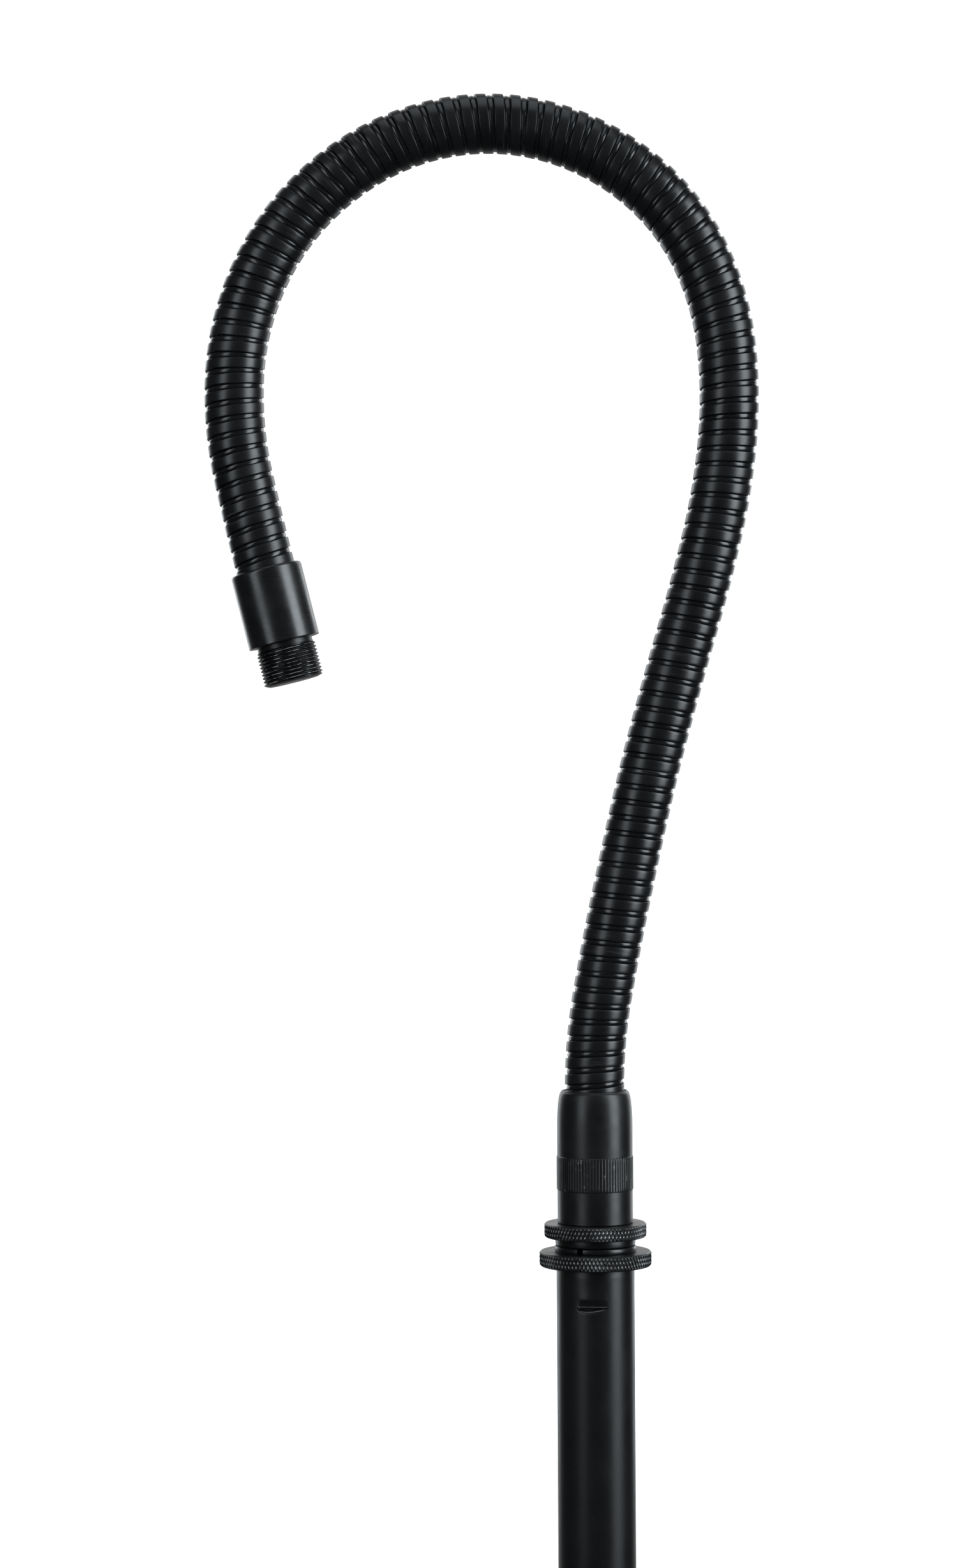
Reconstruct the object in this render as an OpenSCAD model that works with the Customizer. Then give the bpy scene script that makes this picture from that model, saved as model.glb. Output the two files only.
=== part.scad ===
// Flexible gooseneck arm on a stand tube, with a 5/8 inch threaded stud for a microphone clip.
// Millimetres, +Z up. The origin is on the tube's axis, at the tube's lower end.
// The gooseneck lies in the XZ plane and crooks over towards -X.

/* [Stand tube] */
// Outside diameter of the stand tube
tube_d = 20.4; // [19:0.1:22]
// Wall thickness of the stand tube
tube_wall = 1.3; // [1:0.1:1.6]
// Length of tube below the adapter's flange
tube_h = 90; // [60:1:400]
// Distance from the top of the tube to the middle of the staking slit
slit_drop = 9.6; // [8:0.1:12]
// Width of the staking slit, across the tube
slit_w = 8.7; // [6:0.1:10]
// Height of the staking slit, along the tube
slit_h = 2.2; // [1:0.1:2.4]
// Depth of the dent that is pressed in above the slit
dent_depth = 0.9; // [0.3:0.1:1]
// Compass direction of the slit: 270 is the front
slit_az = 263; // [0:1:359]

/* [Adapter and lock ring] */
// Diameter of the adapter's knurled flange
flange_d = 29.4; // [26:0.1:34]
// Thickness of the adapter's knurled flange
flange_h = 3.8; // [3:0.1:6]
// Length of the plug that sits inside the tube
plug_h = 22; // [18:1:40]
// Diameter over the crests of the thread at both ends, 5/8 inch
thread_d = 15.875; // [15.875]
// Mean diameter of the lower thread, drawn as a plain running fit
fit_d = 15.2; // [15:0.01:15.4]
// Radial running clearance between the mean threads
fit_gap = 0.05; // [0.02:0.01:0.09]
// Length of the adapter's stud above its flange
stud_h = 20; // [16:0.5:21]
// Diameter of the split spring washer
washer_d = 21.5; // [20:0.1:24]
// Thickness of the split spring washer
washer_h = 1.5; // [1:0.1:2.5]
// Width of the gap in the spring washer
washer_gap = 1.7; // [1:0.1:3]
// Compass direction of the washer's gap
washer_az = 246; // [0:1:359]
// Diameter of the lock ring over its knurl
ring_d = 26.8; // [24:0.1:32]
// Thickness of the lock ring's knurled rim
ring_h = 3.6; // [3:0.1:6]
// Diameter of the lock ring's hub
hub_d = 21; // [19:0.1:23]
// Height of the lock ring's hub
hub_h = 2.2; // [1:0.1:4]

/* [Base ferrule] */
// Diameter of the base ferrule's body
base_d = 19.75; // [19.5:0.05:22]
// Diameter over the base ferrule's knurled band
base_knurl_d = 20.1; // [20:0.05:22.5]
// Height of the base ferrule
base_h = 34.6; // [32:0.1:45]
// Height of the knurled band's lower edge above the ferrule's foot
knurl_from = 8.8; // [4:0.1:12]
// Height of the knurled band
knurl_h = 8.4; // [4:0.1:12]
// Diameter of the rolled lip where the hose comes out
lip_d = 17.4; // [17:0.1:18.6]
// Height over which the ferrule swells from its lip to its body
lip_h = 10; // [4:0.1:14]

/* [Gooseneck] */
// Length of the gooseneck between its two ferrules
hose_l = 447; // [300:1:600]
// Diameter over the outer wedge wire
hose_d = 15.56; // [15.5:0.01:15.6]
// Diameter over the round inner wire
bead_d = 14.72; // [14.6:0.01:14.8]
// Diameter of the round inner wire
wire_d = 3; // [2.8:0.1:3.2]
// Width of the wedge wire's outer face
band_w = 2.65; // [2:0.05:3]
// Turns of wire in each link
link_turns = 6; // [4:2:6]

/* [Free end] */
// Diameter of the end sleeve
end_d = 18.8; // [18.2:0.1:20]
// Length of the end sleeve
end_h = 19.7; // [17:0.1:26]
// Diameter of the relief between the sleeve and the thread
relief_d = 14.7; // [14:0.1:15]
// Length of the relief
relief_h = 1.4; // [1:0.1:2]
// Length of the full thread
thread_h = 8.8; // [8:0.1:12]

/* [Hidden] */
$fn = 96;
eps = 0.05;
black = [0.09, 0.09, 0.1];
steel = [0.16, 0.16, 0.17];

// Bend of each link at rest, in degrees, from the base ferrule up. Plus curls towards -X.
bends = [-10, -2, -1, -2.5, -1, 3, 8, 11.5, 19.5, 24, 22, 23.5, 22.5, 20.5, 20.5, 19.5, 14.5, 1.5];
links = len(bends);
link_l = hose_l / links;
turn_l = link_l / link_turns;

// Levels up the stand
washer_z = tube_h + flange_h;
hub_z = washer_z + washer_h + eps;
ring_z = hub_z + hub_h;
base_z = ring_z + ring_h + eps;
mouth_z = base_z + base_h;

tube_bore = tube_d - 2 * tube_wall;
hose_bore = hose_d + 0.2;
bush_d = base_d - 2.4;
bush_h = 15.8;
base_socket = base_h - bush_h - 0.4;
end_socket = 12;
// Turns of the hose that each ferrule hides
base_turns = 4;
end_turns = 2;
lip_steps = 8;

function two(k) = str(k < 10 ? "0" : "", k);

// Straight distance across an arc of length l that turns by b degrees
function chord(l, b) = l * sin(b / 2) / (b / 2 * PI / 180);
// Point at the end of an arc that starts at p with heading h
function along(p, h, l, b) = p + chord(l, b) * [cos(h + b / 2), 0, sin(h + b / 2)];
// Heading at the start of link k, counted from 0: 90 is straight up
function heading(k) = k == 0 ? 90 : heading(k - 1) + bends[k - 1];
// Point at the start of link k
function start_of(k) = k == 0 ? [0, 0, mouth_z] : along(start_of(k - 1), heading(k - 1), link_l, bends[k - 1]);
// Stands its children at point p, with their +Z along heading h
module stand_at(p, h) translate(p) rotate([0, 90 - h, 0]) children();

// Stands its children on link k, s millimetres along its arc
module on_link(k, s) {
    b = bends[k] * s / link_l;
    p = s == 0 ? start_of(k) : along(start_of(k), heading(k), s, b);
    stand_at(p, heading(k) + b) children();
}

// One turn of the wedge wire: a flat face outwards and an edge between the round turns
module wedge_turn() {
    r = hose_d / 2;
    face = band_w / 2;
    shoulder = face - 0.22;
    edge = 0.2;
    rotate_extrude() polygon([
        [r, -face], [r, face], [r - 0.48, shoulder], [r - 1.35, edge], [r - 1.35, -edge], [r - 0.48, -shoulder]
    ]);
}

// One turn of the round wire
module round_turn() rotate_extrude() translate([(bead_d - wire_d) / 2, 0]) circle(d = wire_d, $fn = 32);

// Straight ring from z0 to z1
module ring(z0, z1, d_out, d_in) translate([0, 0, z0]) difference() {
    cylinder(d = d_out, h = z1 - z0);
    translate([0, 0, -1]) cylinder(d = d_in, h = z1 - z0 + 2);
}

module stand_tube() color(black) {
    r = tube_d / 2;
    z = tube_h - slit_drop;
    scoop_r = 4;
    difference() {
        cylinder(d = tube_d, h = tube_h);
        translate([0, 0, -1]) cylinder(d = tube_bore, h = tube_h + 2);
        rotate([0, 0, slit_az]) translate([r - 3, -slit_w / 2, z - slit_h / 2]) cube([6, slit_w, slit_h]);
        rotate([0, 0, slit_az]) translate([r + scoop_r - dent_depth, 0, z + slit_h / 2 + 1.4])
            rotate([90, 0, 0]) cylinder(r = scoop_r, h = slit_w, center = true);
    }
}

module stand_adapter() color(black) {
    plug_r = tube_bore / 2 - eps;
    groove = tube_h - slit_drop;
    c = 0.5;
    rotate_extrude() polygon([
        [0, tube_h - plug_h], [plug_r - 1, tube_h - plug_h], [plug_r, tube_h - plug_h + 1],
        [plug_r, groove - 2], [plug_r - 1.2, groove - 2], [plug_r - 1.2, groove + 3], [plug_r, groove + 3],
        [plug_r, tube_h], [flange_d / 2 - c, tube_h], [flange_d / 2, tube_h + c],
        [flange_d / 2, washer_z - c], [flange_d / 2 - c, washer_z],
        [fit_d / 2, washer_z], [fit_d / 2, washer_z + stud_h - 1], [fit_d / 2 - 1, washer_z + stud_h],
        [0, washer_z + stud_h]
    ]);
}

module split_washer() color(steel) difference() {
    ring(washer_z, washer_z + washer_h, washer_d, fit_d + 1);
    rotate([0, 0, washer_az]) translate([0, -washer_gap / 2, washer_z - 1]) cube([washer_d, washer_gap, washer_h + 2]);
}

module lock_ring() color(black) {
    bore_r = fit_d / 2 + fit_gap;
    c = 0.45;
    rotate_extrude() polygon([
        [bore_r, hub_z], [hub_d / 2 - 0.3, hub_z], [hub_d / 2, hub_z + 0.3], [hub_d / 2, ring_z],
        [ring_d / 2 - c, ring_z], [ring_d / 2, ring_z + c], [ring_d / 2, ring_z + ring_h - c],
        [ring_d / 2 - c, ring_z + ring_h], [bore_r, ring_z + ring_h]
    ]);
}

// Turned ferrule: an elliptical lip at the top, a plain body and a band for the knurl
module base_ferrule() color(black) {
    r = base_d / 2;
    lip = [for (i = [0:lip_steps])
        [lip_d / 2 + (r - lip_d / 2) * cos(90 * i / lip_steps), mouth_z - lip_h + lip_h * sin(90 * i / lip_steps)]];
    difference() {
        rotate_extrude() polygon(concat([
            [0, base_z], [r - 0.3, base_z], [r, base_z + 0.3],
            [r, base_z + knurl_from], [base_knurl_d / 2, base_z + knurl_from],
            [base_knurl_d / 2, base_z + knurl_from + knurl_h], [r, base_z + knurl_from + knurl_h]
        ], lip, [[0, mouth_z]]));
        translate([0, 0, base_z - 1]) cylinder(d = bush_d, h = bush_h + 1);
        translate([0, 0, base_z]) cylinder(d = hose_bore, h = base_h + 1);
    }
}

module base_bush() color(steel)
    ring(base_z, base_z + bush_h - eps, bush_d - 2 * eps, fit_d + 2 * fit_gap);

module end_sleeve() color(black) stand_at(start_of(links), heading(links)) difference() {
    r = end_d / 2;
    rotate_extrude() polygon(concat(
        [for (i = [0:lip_steps]) [r - 0.65 + 0.65 * sin(90 * i / lip_steps), 2 - 2 * cos(90 * i / lip_steps)]],
        [[r, end_h - 0.2], [r - 0.2, end_h], [0, end_h], [0, 0]]
    ));
    translate([0, 0, -1]) cylinder(d = hose_bore, h = end_h + 2);
}

module end_stud() color(black) stand_at(start_of(links), heading(links)) {
    z = end_h + relief_h;
    r = thread_d / 2;
    rotate_extrude() polygon([
        [0, end_socket + 0.5], [hose_bore / 2 - eps, end_socket + 0.5], [hose_bore / 2 - eps, end_h],
        [relief_d / 2, end_h], [relief_d / 2, z], [r - 0.3, z], [r, z + 0.3], [r, z + thread_h],
        [r - 1.4, z + thread_h + 0.5], [0, z + thread_h + 0.5]
    ]);
}

// Turns of both wires lie half a turn apart. Piece k runs from the middle of one link to the middle
// of the next, where the joints are. The first and last pieces end inside the ferrules.
module outer_wire(k) color(black) {
    if (k > 0) for (i = [link_turns / 2:link_turns - 1]) on_link(k - 1, (i + 0.5) * turn_l) wedge_turn();
    if (k < links) for (i = [0:link_turns / 2 - 1]) on_link(k, (i + 0.5) * turn_l) wedge_turn();
    if (k == 0) for (i = [1:base_turns]) translate([0, 0, mouth_z - (i - 0.5) * turn_l]) wedge_turn();
    if (k == links) stand_at(start_of(k), heading(k))
        for (i = [1:end_turns]) translate([0, 0, (i - 0.5) * turn_l]) wedge_turn();
}

module inner_wire(k) color(steel) {
    if (k > 0) for (i = [link_turns / 2:link_turns - 1]) on_link(k - 1, i * turn_l) round_turn();
    if (k < links) for (i = [0:link_turns / 2 - 1]) on_link(k, i * turn_l) round_turn();
    if (k == 0) for (i = [1:base_turns]) translate([0, 0, mouth_z - i * turn_l]) round_turn();
    if (k == links) stand_at(start_of(k), heading(k)) for (i = [0:end_turns]) translate([0, 0, i * turn_l]) round_turn();
}

stand_tube();
stand_adapter();
split_washer();
lock_ring();
base_ferrule();
base_bush();
end_sleeve();
end_stud();
for (k = [0:links]) outer_wire(k);
for (k = [0:links]) inner_wire(k);
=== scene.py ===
"""Looks of a flexible gooseneck arm on a stand tube.

Everything is in metres, +Z up, with the tube's axis on the Z axis and its lower end on the floor.
The hose is two long right-handed wires wound together: a round wire, and a wedge wire in its grooves.
"""

import math

import bpy
import numpy as np
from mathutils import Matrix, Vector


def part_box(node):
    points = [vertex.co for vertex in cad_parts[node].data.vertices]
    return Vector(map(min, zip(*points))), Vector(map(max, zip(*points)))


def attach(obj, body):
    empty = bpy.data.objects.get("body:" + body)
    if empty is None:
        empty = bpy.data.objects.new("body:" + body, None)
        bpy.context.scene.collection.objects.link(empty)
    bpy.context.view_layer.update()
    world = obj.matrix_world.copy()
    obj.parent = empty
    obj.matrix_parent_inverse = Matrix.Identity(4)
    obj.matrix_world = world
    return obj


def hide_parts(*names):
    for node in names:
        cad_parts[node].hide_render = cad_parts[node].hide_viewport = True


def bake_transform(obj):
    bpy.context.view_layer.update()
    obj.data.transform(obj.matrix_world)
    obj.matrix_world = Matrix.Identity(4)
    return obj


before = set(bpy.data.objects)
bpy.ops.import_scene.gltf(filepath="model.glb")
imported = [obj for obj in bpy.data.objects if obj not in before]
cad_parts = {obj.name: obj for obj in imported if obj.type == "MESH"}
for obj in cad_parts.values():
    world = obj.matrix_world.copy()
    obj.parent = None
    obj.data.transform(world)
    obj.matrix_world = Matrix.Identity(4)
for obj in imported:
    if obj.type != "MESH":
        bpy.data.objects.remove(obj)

bl_info = {
    "name": "Gooseneck Arm",
    "version": (1, 0, 0),
    "blender": (4, 5, 0),
    "location": "3D View > Sidebar > Gooseneck",
    "description": "Builds the tube, knurled rings, ferrules and two-wire hose of a flexible stand arm",
    "category": "Object",
}

MM = 0.001
TURN = 2 * math.pi
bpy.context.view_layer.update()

# Bend of each link of the hose at rest, in degrees, from the base ferrule up. Plus curls towards -X.
BENDS = (-10, -2, -1, -2.5, -1, 3, 8, 11.5, 19.5, 24, 22, 23.5, 22.5, 20.5, 20.5, 19.5, 14.5, 1.5)
LINKS = len(BENDS)
HOSE_LENGTH = 447 * MM
TURNS_IN_LINK = 6
LINK = HOSE_LENGTH / LINKS
LEAD = LINK / TURNS_IN_LINK
HIDDEN_BELOW = 4 * LEAD
HIDDEN_ABOVE = 2 * LEAD

# Radius of the small disc that closes a solid turned piece, and a radius that limits nothing.
CORE = 0.5 * MM
FREE = 1.0

# How deep the wear on a knurl's or thread's tips reaches, and how strong it is there.
DIAMOND_WEAR = (0.11 * MM, 0.85)
STRAIGHT_WEAR = (0.03 * MM, 0.40)
THREAD_WEAR = (0.12 * MM, 0.62)

# Inputs of a Map Range node that hold its numbers.
RANGE_SOCKETS = ("From Min", "From Max", "To Min", "To Max")

# Where the lights point, and their colour.
AIM = (-0.02, 0.0, 0.24)
LIGHT_COLOUR = (0.87, 0.95, 1.0)

# Brightness of the surroundings, and what gloss sees of them: a range of direction, and the range it gives.
AIR = (1.22, 1.22, 1.22, 1)
AIR_ALONG_Y = (0.45, 0.95, 0.035, 0.9)
AIR_ALONG_Z = (-0.10, 0.0, 0.4, 1.0)


def low(node):
    """Height of a CAD node's foot."""
    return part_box(node)[0].z


def high(node):
    """Height of a CAD node's top."""
    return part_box(node)[1].z


def width(node):
    """Width of a CAD node along Y, which is its diameter for every turned part here."""
    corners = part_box(node)
    return corners[1].y - corners[0].y


TUBE_TOP = high("stand_tube")
FLANGE_TOP = low("split_washer")
MOUTH = high("base_ferrule")


def arc_ends():
    """Start point and heading of every link, and of the hose's end. Heading is degrees from +X towards +Z.

    A link is an arc, so its end lies one chord away from its start, halfway between the two headings.
    """
    places, headings = [np.array([0.0, 0.0, MOUTH])], [90.0]
    for bend in BENDS:
        half = math.radians(bend / 2)
        middle = math.radians(headings[-1]) + half
        chord = LINK * math.sin(half) / half
        places.append(places[-1] + chord * np.array([math.cos(middle), 0.0, math.sin(middle)]))
        headings.append(headings[-1] + bend)
    return np.array(places), np.array(headings)


PLACES, HEADINGS = arc_ends()


def hose_line(reach):
    """Points and headings (radians) of the hose's middle line at distances reach from the ferrule's mouth.

    Inside a link the heading changes evenly. Before the first link and past the last the line is straight.
    """
    link = np.clip(np.floor(reach / LINK).astype(int), 0, LINKS - 1)
    inside = np.clip(reach, 0, HOSE_LENGTH)
    share = inside / LINK - link
    half = np.radians(np.array(BENDS)[link] * share / 2)
    start = np.radians(HEADINGS[link])
    chord = share * LINK * np.sinc(half / math.pi)
    heading = start + 2 * half
    past = reach - inside
    x = PLACES[link, 0] + chord * np.cos(start + half) + past * np.cos(heading)
    z = PLACES[link, 2] + chord * np.sin(start + half) + past * np.sin(heading)
    return np.stack([x, 0 * x, z], -1), heading


# ---------------------------------------------------------------- settings


class StandSizes(bpy.types.PropertyGroup):
    """Sizes of the tube, the adapter, the washer and the lock ring."""

    tube_width: bpy.props.FloatProperty(
        name="Tube width", description="Outside diameter of the stand tube",
        default=width("stand_tube"), min=0.019, max=0.022, unit="LENGTH")
    tube_wall: bpy.props.FloatProperty(
        name="Tube wall", description="Wall thickness of the stand tube",
        default=1.3 * MM, min=0.001, max=0.0016, unit="LENGTH")
    slit_width: bpy.props.FloatProperty(
        name="Slit width", description="Width of the staking slit across the tube",
        default=8.4 * MM, min=0.006, max=0.010, unit="LENGTH")
    slit_top: bpy.props.FloatProperty(
        name="Slit drop", description="Distance from the tube's mouth down to the slit's upper lip",
        default=9.74 * MM, min=0.006, max=0.012, unit="LENGTH")
    slit_open: bpy.props.FloatProperty(
        name="Slit opening", description="Widest opening between the two lips",
        default=1.15 * MM, min=0.0005, max=0.0024, unit="LENGTH")
    dent: bpy.props.FloatProperty(
        name="Dent", description="Depth of the pressed-in wall at the upper lip",
        default=0.62 * MM, min=0.0003, max=0.0012, unit="LENGTH")
    slit_turn: bpy.props.FloatProperty(
        name="Slit direction", description="Compass direction of the slit, with 270 degrees at the front",
        default=math.radians(263), subtype="ANGLE")
    flange_teeth: bpy.props.IntProperty(
        name="Flange teeth", description="Diamonds round the adapter's flange", default=90, min=40, max=140)
    ring_teeth: bpy.props.IntProperty(
        name="Ring teeth", description="Diamonds round the lock ring", default=80, min=40, max=140)
    knurl_lead: bpy.props.FloatProperty(
        name="Diamond height", description="Height of one diamond of the knurl",
        default=2.25 * MM, min=0.001, max=0.004, unit="LENGTH")
    knurl_depth: bpy.props.FloatProperty(
        name="Knurl depth", description="Depth of the diamond knurl's grooves",
        default=0.30 * MM, min=0.0001, max=0.0006, unit="LENGTH")
    hub_width: bpy.props.FloatProperty(
        name="Hub width", description="Diameter of the lock ring's hub",
        default=21 * MM, min=0.019, max=0.023, unit="LENGTH")
    hub_height: bpy.props.FloatProperty(
        name="Hub height", description="Height of the lock ring's hub",
        default=2.2 * MM, min=0.001, max=0.004, unit="LENGTH")
    washer_gap: bpy.props.FloatProperty(
        name="Washer gap", description="Width of the spring washer's gap",
        default=1.7 * MM, min=0.001, max=0.003, unit="LENGTH")
    washer_turn: bpy.props.FloatProperty(
        name="Washer gap direction", description="Compass direction of the washer's gap",
        default=math.radians(246), subtype="ANGLE")
    stud_height: bpy.props.FloatProperty(
        name="Stud height", description="Length of the adapter's stud above its flange",
        default=high("stand_adapter") - FLANGE_TOP, min=0.010, max=0.021, unit="LENGTH")


class HoseSizes(bpy.types.PropertyGroup):
    """Sizes of the hose's two wires."""

    band_width: bpy.props.FloatProperty(
        name="Band width", description="Width of the wedge wire's outer face",
        default=2.65 * MM, min=0.002, max=0.003, unit="LENGTH")
    hose_width: bpy.props.FloatProperty(
        name="Hose width", description="Diameter over the wedge wire",
        default=15.56 * MM, min=0.014, max=0.017, unit="LENGTH")
    bead_width: bpy.props.FloatProperty(
        name="Bead width", description="Diameter over the round wire",
        default=14.72 * MM, min=0.014, max=0.0155, unit="LENGTH")
    wire_width: bpy.props.FloatProperty(
        name="Round wire", description="Diameter of the round wire",
        default=3 * MM, min=0.002, max=0.0032, unit="LENGTH")
    start: bpy.props.FloatProperty(
        name="Winding start",
        description="Compass direction of the wedge wire at the ferrule's mouth, from +X",
        default=math.radians(-52), subtype="ANGLE")
    steps: bpy.props.IntProperty(
        name="Steps in a turn", description="Points along one turn of wire", default=72, min=24, max=120)


class FittingSizes(bpy.types.PropertyGroup):
    """Sizes of the base ferrule and of the free end's sleeve and stud."""

    body_width: bpy.props.FloatProperty(
        name="Ferrule body", description="Diameter of the base ferrule's plain body",
        default=19.75 * MM, min=0.019, max=0.022, unit="LENGTH")
    lip_width: bpy.props.FloatProperty(
        name="Ferrule lip", description="Diameter of the rolled lip at the ferrule's mouth",
        default=17.4 * MM, min=0.017, max=0.0186, unit="LENGTH")
    lip_height: bpy.props.FloatProperty(
        name="Lip swell", description="Height over which the ferrule swells from its lip to its body",
        default=10 * MM, min=0.004, max=0.014, unit="LENGTH")
    knurl_from: bpy.props.FloatProperty(
        name="Knurl from", description="Height of the straight knurl above the ferrule's foot",
        default=8.65 * MM, min=0.004, max=0.012, unit="LENGTH")
    knurl_height: bpy.props.FloatProperty(
        name="Knurl height", description="Height of the straight knurl",
        default=8.95 * MM, min=0.004, max=0.012, unit="LENGTH")
    knurl_teeth: bpy.props.IntProperty(
        name="Knurl teeth", description="Teeth of the straight knurl", default=72, min=40, max=100)
    bush_height: bpy.props.FloatProperty(
        name="Bush height", description="Length of the threaded bush in the ferrule's foot",
        default=high("base_bush") - low("base_bush"), min=0.010, max=0.020, unit="LENGTH")
    sleeve_width: bpy.props.FloatProperty(
        name="Sleeve width", description="Diameter of the end sleeve",
        default=18.8 * MM, min=0.018, max=0.020, unit="LENGTH")
    sleeve_length: bpy.props.FloatProperty(
        name="Sleeve length", description="Length of the end sleeve",
        default=19.7 * MM, min=0.017, max=0.026, unit="LENGTH")
    relief_width: bpy.props.FloatProperty(
        name="Relief width", description="Diameter of the relief above the thread",
        default=14.7 * MM, min=0.014, max=0.015, unit="LENGTH")
    relief_length: bpy.props.FloatProperty(
        name="Relief length", description="Length of the relief above the thread",
        default=1.4 * MM, min=0.001, max=0.002, unit="LENGTH")
    thread_length: bpy.props.FloatProperty(
        name="Thread length", description="Length of the free end's full thread",
        default=8.8 * MM, min=0.008, max=0.012, unit="LENGTH")
    thread_width: bpy.props.FloatProperty(
        name="Thread width", description="Diameter over the thread's crests, five eighths of an inch",
        default=15.875 * MM, min=0.015, max=0.016, unit="LENGTH")
    thread_pitch: bpy.props.FloatProperty(
        name="Thread pitch", description="Distance between the thread's crests, at 27 to the inch",
        default=25.4 * MM / 27, min=0.0005, max=0.002, unit="LENGTH")
    thread_depth: bpy.props.FloatProperty(
        name="Thread depth", description="Depth of the thread's groove",
        default=0.56 * MM, min=0.0003, max=0.0008, unit="LENGTH")


class Finishes(bpy.types.PropertyGroup):
    """Colours of the finishes."""

    paint: bpy.props.FloatVectorProperty(
        name="Paint", description="Satin black paint on the tube", subtype="COLOR",
        default=(0.0014, 0.0017, 0.0021), min=0, max=1)
    plating: bpy.props.FloatVectorProperty(
        name="Plating", description="Black plating on the rings and ferrules", subtype="COLOR",
        default=(0.0013, 0.0016, 0.0020), min=0, max=1)
    oxide: bpy.props.FloatVectorProperty(
        name="Oxide", description="Black oxide on the hose wires", subtype="COLOR",
        default=(0.0013, 0.0016, 0.0020), min=0, max=1)
    bare: bpy.props.FloatVectorProperty(
        name="Bare edge", description="Steel where the black has rubbed thin", subtype="COLOR",
        default=(0.44, 0.46, 0.47), min=0, max=1)
    floor: bpy.props.FloatVectorProperty(
        name="Floor", description="Pale floor", subtype="COLOR",
        default=(0.90, 0.90, 0.90), min=0, max=1)


class StageSizes(bpy.types.PropertyGroup):
    """Camera and lights."""

    distance: bpy.props.FloatProperty(
        name="Camera distance", description="Distance from the camera to the hose's plane",
        default=0.910, min=0.3, max=3, unit="LENGTH")
    aim_side: bpy.props.FloatProperty(
        name="Camera side", description="Camera's place along X", default=-0.02888, unit="LENGTH")
    aim_height: bpy.props.FloatProperty(
        name="Camera height", description="Camera's height above the floor", default=0.2161, unit="LENGTH")
    lens: bpy.props.FloatProperty(
        name="Lens", description="Focal length in millimetres on a 36 mm frame's long side",
        default=79.8, min=20, max=200)
    roll: bpy.props.FloatProperty(
        name="Camera roll", description="Turn of the camera about its own line of sight",
        default=math.radians(0.33), subtype="ANGLE")
    key_power: bpy.props.FloatProperty(
        name="Key light", description="Power of the tall soft light on the right, in watts",
        default=25, min=0)
    fill_power: bpy.props.FloatProperty(
        name="Fill light", description="Power of the tall soft light on the left, in watts",
        default=6, min=0)
    back_power: bpy.props.FloatProperty(
        name="Back lights", description="Power of each of the two soft lights behind, in watts",
        default=3.5, min=0)
    top_power: bpy.props.FloatProperty(
        name="Top light", description="Power of the soft light overhead, in watts", default=7, min=0)


# ---------------------------------------------------------------- surfaces


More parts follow.
